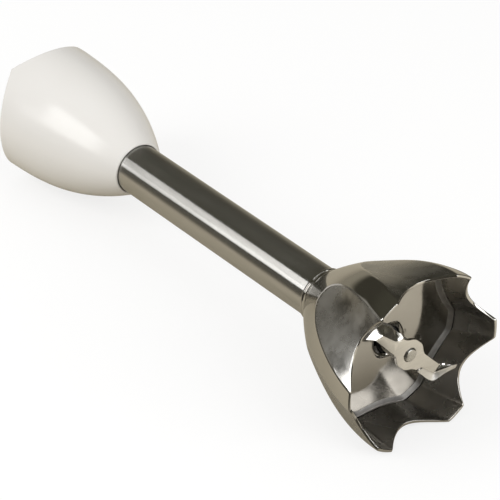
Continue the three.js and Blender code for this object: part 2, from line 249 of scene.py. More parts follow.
def rounded(points, fillet=0.3, steps=4):
    """A closed outline with its corners rounded. A point's last value may be its own fillet."""
    outline = []
    count = len(points)
    for index, corner in enumerate(points):
        here = np.array(corner[:2], float)
        size = corner[2] if len(corner) > 2 else fillet
        before = np.array(points[index - 1][:2], float) - here
        after = np.array(points[(index + 1) % count][:2], float) - here
        back, ahead = np.linalg.norm(before), np.linalg.norm(after)
        if size <= 0:
            outline.append(tuple(here))
            continue
        reach = min(size, 0.45 * back, 0.45 * ahead)
        start = here + before / back * reach
        end = here + after / ahead * reach
        for step in range(steps + 1):
            t = step / steps
            outline.append(tuple((1 - t) ** 2 * start + 2 * t * (1 - t) * here + t * t * end))
    return outline


def turned_points(outline, sides, wave=None):
    """A ring of points for each (radius, height) of the outline, row by row."""
    profile = np.array(outline, float)
    angles = np.arange(sides) * 2 * math.pi / sides
    r = profile[:, 0][:, None]
    z = np.repeat(profile[:, 1][:, None], sides, axis=1)
    if wave is not None:
        z = z + wave(angles[None, :], z)
    return np.stack([r * np.cos(angles), r * np.sin(angles), z], axis=-1).reshape(-1, 3)


def turned(name, outline, sides=96, wave=None):
    """A ring: the closed outline of (radius, height) points, anticlockwise, turned round z."""
    return link_mesh(name, turned_points(outline, sides, wave), grid_faces(len(outline), sides))


def turned_solid(name, outline, sides=64):
    """A solid of revolution whose outline starts and ends on the axis."""
    inner = outline[1:-1]
    points = turned_points(inner, sides)
    faces = grid_faces(len(inner), sides, close_rows=False)
    low_pole = len(points)
    high_pole = low_pole + 1
    last_row = (len(inner) - 1) * sides
    points = np.vstack([points, [0, 0, outline[0][1]], [0, 0, outline[-1][1]]])
    for j in range(sides):
        beside = (j + 1) % sides
        faces.append([low_pole, beside, j])
        faces.append([last_row + j, last_row + beside, high_pole])
    return link_mesh(name, points, faces)


def block(width, depth, low, high, offset=0.0, turn=0.0):
    """A cutting block: offset along x, then turned round z."""
    corners = [(x * width / 2 + offset, y * depth / 2, z) for z in (low, high)
               for x, y in ((-1, -1), (1, -1), (1, 1), (-1, 1))]
    points = [(x * math.cos(turn) - y * math.sin(turn), x * math.sin(turn) + y * math.cos(turn), z)
              for x, y, z in corners]
    faces = [[3, 2, 1, 0], [4, 5, 6, 7], [0, 1, 5, 4], [1, 2, 6, 5], [2, 3, 7, 6], [3, 0, 4, 7]]
    return link_mesh("cutting_block", points, faces)


def carve(piece, tools, operation="DIFFERENCE"):
    """Cuts the tools out of a piece, or joins them to it, and leaves one plain mesh."""
    for tool in tools:
        step = piece.modifiers.new("carve", "BOOLEAN")
        step.operation = operation
        step.object = tool
        step.solver = "EXACT"
    bpy.context.view_layer.update()
    graph = bpy.context.evaluated_depsgraph_get()
    carved = bpy.data.meshes.new_from_object(piece.evaluated_get(graph))
    piece.modifiers.clear()
    piece.data = carved
    for tool in tools:
        bpy.data.objects.remove(tool)


def soften_edges(piece, width=0.15, segments=2):
    """Rounds the edges that are sharper than 30 degrees."""
    weld = piece.modifiers.new("weld", "WELD")
    weld.merge_threshold = 1e-6
    bevel = piece.modifiers.new("soften", "BEVEL")
    bevel.width = width * MM
    bevel.segments = segments
    bevel.limit_method = "ANGLE"
    bevel.angle_limit = rad(30)
    even_normals(piece)


# ---- material helpers --------------------------------------------------------------------


def new_material(name, **sockets):
    """A material with one Principled shader, whose constant sockets are given by name."""
    material = bpy.data.materials.new(name)
    material.use_nodes = True
    shader = material.node_tree.nodes["Principled BSDF"]
    for socket, value in sockets.items():
        shader.inputs[socket.replace("_", " ")].default_value = value
    return material, material.node_tree, shader


def noise(tree, scale, stretch=(1.0, 1.0, 1.0), detail=3.0, rough=0.55, turn=(0.0, 0.0, 0.0)):
    """A noise pattern in object coordinates: scale is in features per metre."""
    place = tree.nodes.new("ShaderNodeTexCoord")
    mapping = tree.nodes.new("ShaderNodeMapping")
    mapping.inputs["Rotation"].default_value = turn
    mapping.inputs["Scale"].default_value = stretch
    pattern = tree.nodes.new("ShaderNodeTexNoise")
    pattern.inputs["Scale"].default_value = scale
    pattern.inputs["Detail"].default_value = detail
    pattern.inputs["Roughness"].default_value = rough
    tree.links.new(place.outputs["Object"], mapping.inputs["Vector"])
    tree.links.new(mapping.outputs["Vector"], pattern.inputs["Vector"])
    return pattern.outputs["Fac"]


def spread(tree, value, low, high, start=0.3, end=0.7):
    """Maps a pattern's middle range onto low to high."""
    ranged = tree.nodes.new("ShaderNodeMapRange")
    ranged.inputs["From Min"].default_value = start
    ranged.inputs["From Max"].default_value = end
    ranged.inputs["To Min"].default_value = low
    ranged.inputs["To Max"].default_value = high
    tree.links.new(value, ranged.inputs["Value"])
    return ranged.outputs["Result"]


def two_tone(tree, value, dark, light, start=0.3, end=0.7):
    ramp = tree.nodes.new("ShaderNodeValToRGB")
    ramp.color_ramp.elements[0].position = start
    ramp.color_ramp.elements[0].color = (*dark, 1.0)
    ramp.color_ramp.elements[1].position = end
    ramp.color_ramp.elements[1].color = (*light, 1.0)
    tree.links.new(value, ramp.inputs["Fac"])
    return ramp.outputs["Color"]


def fade(tree, value, start, end):
    """0 where the value is at start, 1 where it is at end, smooth between."""
    ranged = tree.nodes.new("ShaderNodeMapRange")
    ranged.interpolation_type = "SMOOTHSTEP"
    ranged.inputs["From Min"].default_value = start
    ranged.inputs["From Max"].default_value = end
    tree.links.new(value, ranged.inputs["Value"])
    return ranged.outputs["Result"]


def blended(tree, factor, first, second):
    """A mix of two colours, either of which may be another node's output."""
    mix = tree.nodes.new("ShaderNodeMix")
    mix.data_type = "RGBA"
    tree.links.new(factor, mix.inputs["Factor"])
    for socket, colour in ((mix.inputs[6], first), (mix.inputs[7], second)):
        if isinstance(colour, tuple):
            socket.default_value = colour
        else:
            tree.links.new(colour, socket)
    return mix.outputs[2]


def surface(tree, shader, tone, roughness, *layers):
    """Links a colour, a roughness and stacked bump layers, each (pattern, height in mm)."""
    tree.links.new(tone, shader.inputs["Base Color"])
    tree.links.new(roughness, shader.inputs["Roughness"])
    normal = None
    for pattern, height in layers:
        bump = tree.nodes.new("ShaderNodeBump")
        bump.inputs["Strength"].default_value = 1.0
        bump.inputs["Distance"].default_value = height * MM
        tree.links.new(pattern, bump.inputs["Height"])
        if normal is not None:
            tree.links.new(normal, bump.inputs["Normal"])
        normal = bump.outputs["Normal"]
    tree.links.new(normal, shader.inputs["Normal"])


# ---- materials ---------------------------------------------------------------------------

ALONG_AXIS = (0.12, 1.0, 1.0)  # stretches a pattern along the shaft


def polished_steel():
    material, tree, shader = new_material("polished_steel", Metallic=1.0)
    tone = two_tone(tree, noise(tree, 45), (0.56, 0.545, 0.515), (0.62, 0.605, 0.575))
    surface(tree, shader, tone, spread(tree, noise(tree, 160), 0.05, 0.11),
            (noise(tree, 140, detail=1.0), 0.012), (noise(tree, 2200), 0.0006))
    return material


def plate_steel():
    """The plate above the blade: flatter and a little darker than the bell."""
    material, tree, shader = new_material("plate_steel", Metallic=1.0)
    tone = two_tone(tree, noise(tree, 50), (0.44, 0.425, 0.40), (0.50, 0.485, 0.46))
    surface(tree, shader, tone, spread(tree, noise(tree, 180), 0.06, 0.12),
            (noise(tree, 100, detail=1.0), 0.01), (noise(tree, 2200), 0.0006))
    return material


def hazy_steel():
    """The bell's pressed facets: polished over the press marks, so cloudy in places."""
    material, tree, shader = new_material("hazy_steel", Metallic=1.0)
    clouds = noise(tree, 70, detail=4.0, rough=0.65)
    tone = two_tone(tree, clouds, (0.41, 0.40, 0.38), (0.51, 0.50, 0.475))
    surface(tree, shader, tone, spread(tree, clouds, 0.15, 0.38, 0.35, 0.65),
            (noise(tree, 90, detail=2.0), 0.12), (noise(tree, 2200), 0.0006))
    return material


def brazed_steel():
    """The dull brazed border between the plate and the bell."""
    material, tree, shader = new_material("brazed_steel", Metallic=1.0)
    tone = two_tone(tree, noise(tree, 400), (0.28, 0.27, 0.26), (0.36, 0.35, 0.335))
    surface(tree, shader, tone, spread(tree, noise(tree, 500), 0.48, 0.62),
            (noise(tree, 900), 0.02))
    return material


def drawn_steel():
    """The bell's inside: the same steel, less polished, with faint marks of the press."""
    material, tree, shader = new_material("drawn_steel", Metallic=1.0)
    tone = two_tone(tree, noise(tree, 60), (0.42, 0.405, 0.38), (0.52, 0.505, 0.475))
    surface(tree, shader, tone, spread(tree, noise(tree, 110), 0.20, 0.34),
            (noise(tree, 120, detail=2.0), 0.03), (noise(tree, 1800), 0.001))
    return material


def tube_steel():
    """Steel polished round and round: it mirrors sharply across, and spreads light along."""
    material, tree, shader = new_material(
        "tube_steel", Metallic=1.0, Anisotropic=1.0, Anisotropic_Rotation=0.25)
    tone = two_tone(tree, noise(tree, 300, ALONG_AXIS), (0.55, 0.54, 0.515), (0.63, 0.62, 0.595))
    around = tree.nodes.new("ShaderNodeTangent")
    around.direction_type = "RADIAL"
    around.axis = "X"
    tree.links.new(around.outputs["Tangent"], shader.inputs["Tangent"])
    surface(tree, shader, tone, spread(tree, noise(tree, 500, ALONG_AXIS), 0.22, 0.26),
            (noise(tree, 900, ALONG_AXIS), 0.002))
    return material


def blade_steel():
    """Satin steel, brushed along the blade's arms."""
    arm = Vector(AXES[1])
    turn = (-math.atan2(arm.z, arm.y), 0.0, 0.0)
    brushing = (1.0, 0.05, 1.0)
    material, tree, shader = new_material("blade_steel", Metallic=1.0)
    grain = noise(tree, 2500, brushing, turn=turn)
    tone = two_tone(tree, grain, (0.70, 0.685, 0.65), (0.80, 0.785, 0.755))
    surface(tree, shader, tone, spread(tree, noise(tree, 300), 0.12, 0.18), (grain, 0.002))
    return material


def ground_steel():
    """The blade's ground edges: bright, with fine grinding lines."""
    material, tree, shader = new_material("ground_steel", Metallic=1.0)
    lines = noise(tree, 4000, (1.0, 0.1, 1.0))
    tone = two_tone(tree, lines, (0.74, 0.73, 0.70), (0.86, 0.85, 0.83))
    surface(tree, shader, tone, spread(tree, lines, 0.3, 0.42), (lines, 0.004))
    return material


def small_steel():
    material, tree, shader = new_material("small_steel", Metallic=1.0)
    tone = two_tone(tree, noise(tree, 900), (0.52, 0.51, 0.48), (0.64, 0.63, 0.60))
    surface(tree, shader, tone, spread(tree, noise(tree, 600), 0.18, 0.32),
            (noise(tree, 3000), 0.002))
    return material


def spring_steel():
    material, tree, shader = new_material("spring_steel", Metallic=1.0)
    tone = two_tone(tree, noise(tree, 800), (0.07, 0.07, 0.075), (0.14, 0.135, 0.13))
    surface(tree, shader, tone, spread(tree, noise(tree, 1200), 0.3, 0.45),
            (noise(tree, 2500), 0.003))
    return material


def sintered_bronze():
    material, tree, shader = new_material("sintered_bronze", Metallic=1.0)
    tone = two_tone(tree, noise(tree, 3500), (0.34, 0.19, 0.07), (0.58, 0.36, 0.16))
    surface(tree, shader, tone, spread(tree, noise(tree, 2500), 0.35, 0.6),
            (noise(tree, 3500), 0.01))
    return material


def glossy_white():
    """Glossy moulded plastic with a hint of flow in it."""
    material, tree, shader = new_material(
        "glossy_white_plastic", Coat_Weight=0.05, Coat_Roughness=0.1, IOR=1.45)
    tone = two_tone(tree, noise(tree, 25, detail=2.0), (0.715, 0.70, 0.672), (0.745, 0.73, 0.706))
    surface(tree, shader, tone, spread(tree, noise(tree, 220), 0.16, 0.24),
            (noise(tree, 350, detail=1.0), 0.003))
    return material


def matt_plastic(name, dark, light, rough_low, rough_high):
    """Moulded plastic with a fine spark-eroded texture."""
    material, tree, shader = new_material(name, IOR=1.5)
    tone = two_tone(tree, noise(tree, 200), dark, light)
    surface(tree, shader, tone, spread(tree, noise(tree, 900), rough_low, rough_high),
            (noise(tree, 2600), 0.008))
    return material


MATERIALS = {
    "bell": polished_steel(),
    "facet": hazy_steel(),
    "ceiling": plate_steel(),
    "border": brazed_steel(),
    "bell_inside": drawn_steel(),
    "tube": tube_steel(),
    "blade": blade_steel(),
    "edge": ground_steel(),
    "small_steel": small_steel(),
    "spring": spring_steel(),
    "bronze": sintered_bronze(),
    "white": glossy_white(),
    "grey": matt_plastic("housing_grey", (0.42, 0.43, 0.44), (0.52, 0.53, 0.54), 0.38, 0.52),
    "black": matt_plastic("housing_black", (0.012, 0.012, 0.013), (0.03, 0.03, 0.031), 0.4, 0.6),
    "rubber": matt_plastic("seal_rubber", (0.008, 0.008, 0.009), (0.02, 0.02, 0.02), 0.65, 0.85),
}

# ---- bell --------------------------------------------------------------------------------


def dome_radius(z):
    return BELL_R * (1 - (np.maximum(z, 0) / DOME_APEX) ** DOME_POWER)


def wall_across(z):
    """The wall's thickness measured radially."""
    step = 0.01
    return BELL_WALL * np.hypot(1, (dome_radius(z + step) - dome_radius(z)) / step)


def above_zero(value, softness):
    """The larger of value and 0, with a rounded corner."""
    return (value + np.sqrt(value ** 2 + softness ** 2)) / 2


def columns_round(columns):
    """Even angles round the bell, and each one's angle from the nearest tip."""
    even = np.arange(columns) * 2 * math.pi / columns
    return even, (even + SECTOR / 2) % SECTOR - SECTOR / 2


def across_facet(from_tip, half_width):
    return (SECTOR / 2 - np.abs(from_tip)) / half_width


def facet_depth(from_tip, z):
    level = np.clip(z / FACET_H, 0, 1)
    half_width = (FACET_HALF - FACET_TAPER * z) * np.sqrt(1 - level ** 8) + 1e-3
    softness = 2 * CREASE_W / (half_width * dome_radius(z))
    share = above_zero(1 - across_facet(from_tip, half_width) ** 2, softness)
    return FACET_DEPTH * (1 - level ** 2.2) * share


def lifted(z, from_tip):
    """Height of a point of the wall once the scallops are cut."""
    arch = SCALLOP * above_zero(1 - across_facet(from_tip, FACET_HALF) ** 2, TIP_SOFTNESS)
    return z + arch * np.maximum(0, 1 - z / SCALLOP_FADE) ** 2


def pressed(z, inset, columns=BELL_COLUMNS):
    """Grid of points of the bell: one row for each height z and inset from the outside."""
    even, from_tip = columns_round(columns)
    z = lifted(np.asarray(z, float)[:, None], from_tip[None, :])
    r = dome_radius(z) - facet_depth(from_tip, z) - np.asarray(inset, float)[:, None]
    angle = FIRST_TIP + even + TWIST * z
    return np.stack([r * np.cos(angle), r * np.sin(angle), z], axis=-1)


def guard_bell():
    """Pressed steel bell: outside, rounded rim and inside, with a bore at the top."""
    corner = 0.3
    pressed_in = 0.3  # how deep the wall is pressed where its hazy facet starts
    rim_turn = np.linspace(0, math.pi / 2, 5)
    outside = np.linspace(corner, BELL_H - corner, 88)
    inside = np.linspace(BELL_H - 4, corner, 56)
    lip_inset = dome_radius(BELL_H) - TUBE_R - GAP
    inner_wall = wall_across(inside)
    rim_z = corner * (1 - np.sin(rim_turn))
    rim_inset = corner * (1 - np.cos(rim_turn))
    z = np.concatenate([outside, [BELL_H - 0.1, BELL_H, BELL_H, BELL_H - 0.3], inside,
                        rim_z[1:], rim_z[::-1][:-1]])
    inset = np.concatenate([np.zeros(len(outside)), [0.05, 0.3, lip_inset - 0.2, lip_inset],
                            inner_wall, inner_wall[-1] - rim_inset[1:],
                            rim_inset[::-1][:-1]])
    points = pressed(z, inset)
    rows = len(z)
    piece = link_mesh("polished_bell", points.reshape(-1, 3), grid_faces(rows, BELL_COLUMNS))
    add_materials(piece, "bell", "bell_inside", "facet")
    first_inside = len(outside) + 4
    indices = np.zeros((rows, BELL_COLUMNS), np.int32)
    indices[first_inside:first_inside + len(inside)] = 1
    _, from_tip = columns_round(BELL_COLUMNS)
    heights = lifted(outside[:, None], from_tip[None, :])
    indices[:len(outside)][facet_depth(from_tip, heights) > pressed_in] = 2
    piece.data.polygons.foreach_set("material_index", indices.ravel())
    return dress(piece, HOLDER, "bell_steel", MATERIALS["bell"], "guard_bell")


def ceiling_plate():
    """Polished plate above the blade, with a slanted border where it meets the wall."""
    border = 1.7
    clear_of_wall = 0.08
    columns = 240
    flat_rows = 10
    even, from_tip = columns_round(columns)

    def outline(z):
        return dome_radius(z) - facet_depth(from_tip, z) - wall_across(z) - clear_of_wall

    def ring_at(radius, z):
        angle = FIRST_TIP + even + TWIST * CEILING_Z
        return np.stack([radius * np.cos(angle), radius * np.sin(angle),
                         np.full(columns, z)], axis=-1)

    edge = outline(CEILING_Z - border)
    hole = np.full(columns, CEILING_HOLE_R)
    rows = [ring_at(hole + (edge - border - hole) * share, CEILING_Z)
            for share in np.linspace(0, 1, flat_rows)]
    rows += [ring_at(edge - border * (1 - share), CEILING_Z - border * share ** 1.3)
             for share in (0.15, 0.4, 0.7, 1.0)]
    rows.append(ring_at(np.minimum(edge, outline(CEILING_Z + CEILING_T)), CEILING_Z + CEILING_T))
    rows.append(ring_at(hole, CEILING_Z + CEILING_T))
    piece = link_mesh("polished_ceiling", np.array(rows).reshape(-1, 3),
                      grid_faces(len(rows), columns))
    add_materials(piece, "ceiling", "border")
    indices = np.zeros((len(rows), columns), np.int32)
    indices[flat_rows - 1:-3] = 1
    piece.data.polygons.foreach_set("material_index", indices.ravel())
    even_normals(piece)
    return dress(piece, HOLDER, "ceiling_steel", MATERIALS["ceiling"], "bell_ceiling")


def neck_ring():
    bore = TUBE_R + THIN_GAP
    outline = rounded([
        (bore, NECK_LOW - 0.2, 0.05), (10.75, NECK_LOW - 0.2, 0.1), (10.45, NECK_LOW + 0.9),
        (10.0, NECK_LOW + 1.1, 0.15), (10.0, NECK_LOW + 1.4, 0.15), (10.35, NECK_LOW + 1.6),
        (10.25, NECK_LOW + 2.5, 0.4), (bore, NECK_LOW + 2.5, 0.05)], 0.2)
    piece = turned("polished_neck_ring", outline, 128)
    even_normals(piece)
    return dress(piece, HOLDER, "bell_steel", MATERIALS["bell"], "neck_ring")


def shaft_tube():
    outline = rounded([(TUBE_BORE_R, TUBE_LOW), (TUBE_R, TUBE_LOW), (TUBE_R, TUBE_TOP),
                       (TUBE_BORE_R, TUBE_TOP)], 0.2)
    piece = turned("drawn_tube", outline, 160)
    even_normals(piece)
    return dress(piece, HOLDER, "tube_steel", MATERIALS["tube"], "shaft_tube")


# ---- collar and socket -------------------------------------------------------------------


def collar_radius(z):
    rest = np.maximum(0, 1 - (z - COLLAR_CURVE_LOW) / COLLAR_CURVE_H)
    return COLLAR_NECK_R + (COLLAR_R - COLLAR_NECK_R) * (1 - rest ** COLLAR_POWER)


def rim_wave(angle, z):
    """How far the waved rim lifts a point: two narrow dips, two wide ones and four corners."""
    half = math.pi / 2
    from_narrow = np.abs((angle - RIM_NARROW_DIR + half) % math.pi - half)
    narrow = RIM_PEAK - RIM_NARROW_DIP * (1 - (from_narrow / RIM_CORNER) ** 2)
    wide = RIM_PEAK * ((half - from_narrow) / (half - RIM_CORNER)) ** 2
    height = np.where(from_narrow <= RIM_CORNER, narrow, wide)
    share = np.maximum(0, (z - RIM_FADE_LOW) / (COLLAR_RIM - RIM_FADE_LOW))
    return height * share ** 2


def collar_shell():
    """White collar: a bowl-shaped shell with a floor, an O-ring groove and a waved rim."""
    bore = TUBE_R + GAP
    lip = 0.7
    groove_r = 11.3
    groove_low = 163.4
    groove_top = 165.2
    outside = [(collar_radius(z), z, 0) for z in np.linspace(COLLAR_LOW + 0.5, COLLAR_RIM - 1, 70)]
    inside = [(collar_radius(z) - COLLAR_WALL, z, 0)
              for z in np.linspace(COLLAR_RIM - 1, TUBE_TOP + 1, 40)]
    floor_r = collar_radius(TUBE_TOP) - COLLAR_WALL
    outline = rounded([
        (bore, COLLAR_LOW, 0.1), (collar_radius(COLLAR_LOW), COLLAR_LOW, 0.35), *outside,
        (COLLAR_R, COLLAR_RIM, lip), (COLLAR_R - COLLAR_WALL, COLLAR_RIM, lip), *inside,
        (floor_r, TUBE_TOP, 0.4), (bore, TUBE_TOP, 0.1), (bore, groove_top, 0.1),
        (groove_r, groove_top, 0.2), (groove_r, groove_low, 0.2), (bore, groove_low, 0.1)], steps=5)
    piece = turned("white_collar", outline, 240, rim_wave)
    return dress(piece, HOLDER, "collar_white", MATERIALS["white"], "collar_shell")


def socket_liner():
    """Sleeve in the collar with a ledge, two keys and two latch windows."""
    ledge_low = LINER_TOP - 1.8
    key_w = 2
    key_low = 185
    window_w = 7.5
    window_low = 195
    window_top = 201
    sleeve = turned("socket_sleeve", rounded([
        (LINER_BORE_R, LINER_LOW), (LINER_R, LINER_LOW), (LINER_R, ledge_low, 0.1),
        (LINER_LEDGE_R, ledge_low), (LINER_LEDGE_R, LINER_TOP, 0.5),
        (LINER_BORE_R, LINER_TOP, 0.8)], 0.3), 144)
    sides = (0, math.pi)
    keys = [block(1.6, key_w, key_low, LINER_TOP - 3, LINER_BORE_R - 0.3, RIM_NARROW_DIR + side)
            for side in sides]
    windows = [block(6, window_w, window_low, window_top, LINER_R,
                     RIM_NARROW_DIR + math.pi / 2 + side) for side in sides]
    carve(sleeve, keys, "UNION")
    carve(sleeve, windows)
    soften_edges(sleeve, 0.2)
    return dress(sleeve, HOLDER, "collar_white", MATERIALS["white"], "socket_liner")


# ---- housings, seal and screws -----------------------------------------------------------


def upper_housing():
    """Grey plug in the tube's top, with a screwed flange and the upper bearing's boss."""
    low = 158.5
    bore = 3.6
    pocket = 4.8
    pocket_low = 166
    boss_r = 7.2
    flange_r = 15
    hole_r = 1.45
    outline = rounded([
        (bore, low), (PLUG_R, low), (PLUG_R, FLANGE_LOW, 0.1), (flange_r, FLANGE_LOW, 0.2),
        (flange_r, FLANGE_TOP, 0.6), (boss_r, FLANGE_TOP, 0.6), (boss_r, BOSS_TOP, 0.5),
        (pocket, BOSS_TOP, 0.2), (pocket, pocket_low, 0.1), (bore, pocket_low, 0.1)], 0.3)
    piece = turned("bearing_housing", outline)
    places = screw_places()
    holes = [turned_solid("cutting_bore", [(0, FLANGE_LOW - 1), (hole_r, FLANGE_LOW - 1),
                                           (hole_r, FLANGE_TOP + 1), (0, FLANGE_TOP + 1)], 24)
             for _ in places]
    for hole, place in zip(holes, places):
        move_to(hole, place)
    carve(piece, holes)
    soften_edges(piece, 0.12)
    return dress(piece, HOLDER, "housing_grey", MATERIALS["grey"], "upper_housing")


def screw_places():
    angles = [rad(15) + i * 2 * math.pi / SCREW_COUNT for i in range(SCREW_COUNT)]
    return [(SCREW_PCD_R * math.cos(a), SCREW_PCD_R * math.sin(a)) for a in angles]


def move_to(piece, place):
    """Moves a mesh drawn round z to a place (x, y) in the upright frame."""
    piece.data.transform(Matrix.Translation(Vector(to_row((*place, 0)) - ORIGIN)))


def flange_screw(number, place):
    """Pan-head screw with a cross recess."""
    head = FLANGE_TOP + THIN_GAP
    shank = 1.15
    shoulder = head + 0.8
    dome_steps = 7
    outline = [(0, TUBE_TOP - 5), (shank - 0.3, TUBE_TOP - 5), (shank, TUBE_TOP - 4.6),
               (shank, head), (SCREW_HEAD_R - 0.1, head), (SCREW_HEAD_R, head + 0.12),
               (SCREW_HEAD_R, shoulder)]
    for step in range(1, dome_steps):
        a = math.pi / 2 * step / dome_steps
        outline.append((SCREW_HEAD_R * math.cos(a) ** 0.6, shoulder + math.sin(a)))
    outline.append((0, head + 1.85))
    piece = turned_solid(f"cross_screw_{number}", outline, 40)
    slot_low = head + 0.9
    slot_w = 0.6
    slot_length = 2.8
    carve(piece, [block(slot_length, slot_w, slot_low, head + 3),
                  block(slot_w, slot_length, slot_low, head + 3)])
    move_to(piece, place)
    soften_edges(piece, 0.05)
    return dress(piece, HOLDER, "small_steel", MATERIALS["small_steel"], f"flange_screw_{number}")


def lip_seal():
    """Rubber seal round the spacer's nose, with a lip that leans on it."""
    outline = rounded([
        (3.46, 18.6), (3.95, 18.2), (4.4, 18.2), (4.75, 18.5), (4.75, 21.5), (3.85, 21.5),
        (3.46, 20)], 0.25)
    piece = turned("rubber_lip_seal", outline)
    even_normals(piece)
    return dress(piece, HOLDER, "seal_rubber", MATERIALS["rubber"], "lip_seal")


# ---- drive line --------------------------------------------------------------------------


def drive_shaft():
    """Shaft with a domed, chamfered end, two circlip grooves and a cross hole for the pin."""
    outline = [(0, SHAFT_LOW), (1.6, SHAFT_LOW + 0.03), (SHAFT_R - 0.35, SHAFT_LOW + 0.1),
               (SHAFT_R - 0.08, SHAFT_LOW + 0.35), (SHAFT_R, SHAFT_LOW + 0.6)]
    groove_r = 2
    groove_w = 1.4
    for low in CIRCLIP_GROOVES:
        top = low + groove_w
        outline += [(SHAFT_R, low), (groove_r, low), (groove_r, top), (SHAFT_R, top)]
    outline += [(SHAFT_R, SHAFT_TOP - 0.5), (SHAFT_R - 0.4, SHAFT_TOP - 0.08),
                (1.4, SHAFT_TOP), (0, SHAFT_TOP)]
    piece = turned_solid("ground_shaft", outline)
    half_hole = 1.3
    carve(piece, [block(3 * COUPLING_R, 2.0, PIN_Z - half_hole, PIN_Z + half_hole, 0,
                        math.pi / 2)])
    soften_edges(piece, 0.06)
    return dress(piece, SPINNER, "small_steel", MATERIALS["small_steel"], "drive_shaft")


def drive_coupling():
    """Black coupling with a cross-shaped dog socket."""
    bore = SHAFT_R + GAP
    outline = rounded([
        (bore, COUPLING_LOW), (COUPLING_R, COUPLING_LOW, 0.5), (COUPLING_R, COUPLING_TOP, 0.9),
        (2, COUPLING_TOP, 0.4), (2, SHAFT_TOP + GAP, 0.1), (bore, SHAFT_TOP + GAP, 0.1)], 0.2)
    piece = turned("dog_coupling", outline)
    slot_low = COUPLING_TOP - 4.5
    slot_w = 2.6
    slot_length = 11
    carve(piece, [block(slot_w, slot_length, slot_low, COUPLING_TOP + 1),
                  block(slot_length, slot_w, slot_low, COUPLING_TOP + 1)])
    soften_edges(piece, 0.2)
    return dress(piece, SPINNER, "coupling_black", MATERIALS["black"], "drive_coupling")


def blade_spacer():
    bore = SHAFT_R + THIN_GAP
    low = BLADE_Z + BLADE_T + THIN_GAP
    body_r = 4
    nose_r = 3.4
    body_top = 17.6
    outline = rounded([
        (bore, low), (body_r, low, 0.3), (body_r, body_top, 0.25), (nose_r, body_top + 0.3, 0.2),
        (nose_r, TUBE_LOW, 0.2), (bore, TUBE_LOW)], 0.1)
    piece = turned("turned_spacer", outline)
    even_normals(piece)
    return dress(piece, SPINNER, "small_steel", MATERIALS["small_steel"], "blade_spacer")


# The flat of the blade, clockwise from the near arm's root; the last value is the corner's fillet.
# The near arm runs along -y and its wing is bent towards the rim, the far one along +y and its
# wing towards the ceiling.
PLATE = [
    (-5.4, 2.4, 1.4), (-5.4, -2.4, 1.4), (-3.7, -5.0, 0.9), (-3.1, -6.4, 0.8),
    (-3.0, -18.0, 0.3), (0.5, -17.2, 0.4), (0.9, -13.3, 1.0), (1.2, -10.4, 0.6),
    (1.4, -9.2, 0.3), (3.1, -7.7, 0.3), (3.3, -6.3, 0.6), (3.8, -5.0, 0.9),
    (5.4, -2.4, 1.4), (5.4, 2.4, 1.4), (3.7, 5.0, 0.9), (3.1, 6.4, 0.8),
    (2.6, 19.6, 0.3), (0.1, 17.6, 0.6), (-0.3, 13.3, 1.0), (-0.6, 10.4, 0.6),
    (-1.1, 9.4, 0.3), (-3.1, 7.7, 0.3), (-3.3, 6.3, 0.6), (-3.8, 5.0, 0.9),
]

# Each wing is a sheet between two lines that run out from the hub; z is measured from the
# plate's middle, towards the ceiling. The near wing is a ground band along the arm, hooked
# beyond its end, and a steep web that closes the hook.
BAND_FOLD = [(1.2, -10.3, 0), (1.0, -12.2, 0), (0.8, -14.5, 0), (0.5, -17.1, -0.1),
             (-1.9, -18.6, -1.1), (-4.6, -20.4, -2.1), (-6.3, -21.9, -2.6)]
BAND_EDGE = [(3.3, -9.3, -0.2), (3.3, -12.2, -0.45), (3.4, -15.4, -0.8), (2.6, -18.3, -1.3),
             (-0.4, -19.8, -1.8), (-2.6, -20.8, -2.2), (-5.2, -22.8, -2.5)]
WEB_FOLD = [(0.4, -16.9, 1.6), (-1.3, -17.3, 1.5), (-2.5, -17.6, 1.2), (-3.0, -17.8, 0.1)]
WEB_EDGE = [(0.1, -17.9, 0.2), (-2.2, -19.2, -0.8), (-4.4, -20.6, -1.8), (-6.2, -22.0, -2.5)]
FAR_FOLD = [(-3.0, 7.9, 0), (-1.1, 9.5, 0), (-0.5, 11.8, 0), (-0.3, 14.0, 0), (0.1, 17.6, 0),
            (1.4, 18.7, 0), (2.6, 19.6, 0)]
FAR_EDGE = [(-4.0, 9.0, 1.2), (-3.9, 10.9, 2.6), (-4.3, 12.6, 3.0), (-4.2, 14.8, 3.3),
            (-3.4, 17.6, 3.6), (-1.2, 20.9, 2.6), (4.6, 23.3, 1.4)]


def smooth_line(points, count):
    """A Catmull-Rom line through the points, with count points on it."""
    given = np.array(points, float)
    padded = np.vstack([2 * given[0] - given[1], given, 2 * given[-1] - given[-2]])
    line = []
    for place in np.linspace(0, len(given) - 1, count):
        i = min(int(place), len(given) - 2)
        t = place - i
        a, b, c, d = padded[i:i + 4]
        line.append(0.5 * (2 * b + (c - a) * t + (2 * a - 5 * b + 4 * c - d) * t ** 2
                           + (3 * b - a - 3 * c + d) * t ** 3))
    return np.array(line)


def thick_sheet(middle, thickness):
    """Closed sheet round a grid of points (rows, columns, 3) with a thickness per column."""
    along = np.gradient(middle, axis=0)
    over = np.gradient(middle, axis=1)
    normal = np.cross(along, over)
    normal /= np.linalg.norm(normal, axis=-1, keepdims=True)
    half = normal * np.asarray(thickness, float)[None, :, None] / 2
    rows, columns = middle.shape[:2]
    offset = rows * columns
    faces = [quad[::-1] for quad in grid_faces(rows, columns, False, False)]
    faces += [[offset + v for v in quad[::-1]] for quad in faces]
    border = list(range(columns))
    border += [i * columns + columns - 1 for i in range(1, rows)]
    border += [(rows - 1) * columns + j for j in range(columns - 2, -1, -1)]
    border += [i * columns for i in range(rows - 2, 0, -1)]
    for here, after in zip(border, border[1:] + border[:1]):
        faces.append([here, after, offset + after, offset + here])
    points = np.vstack([(middle + half).reshape(-1, 3), (middle - half).reshape(-1, 3)])
    return points, faces


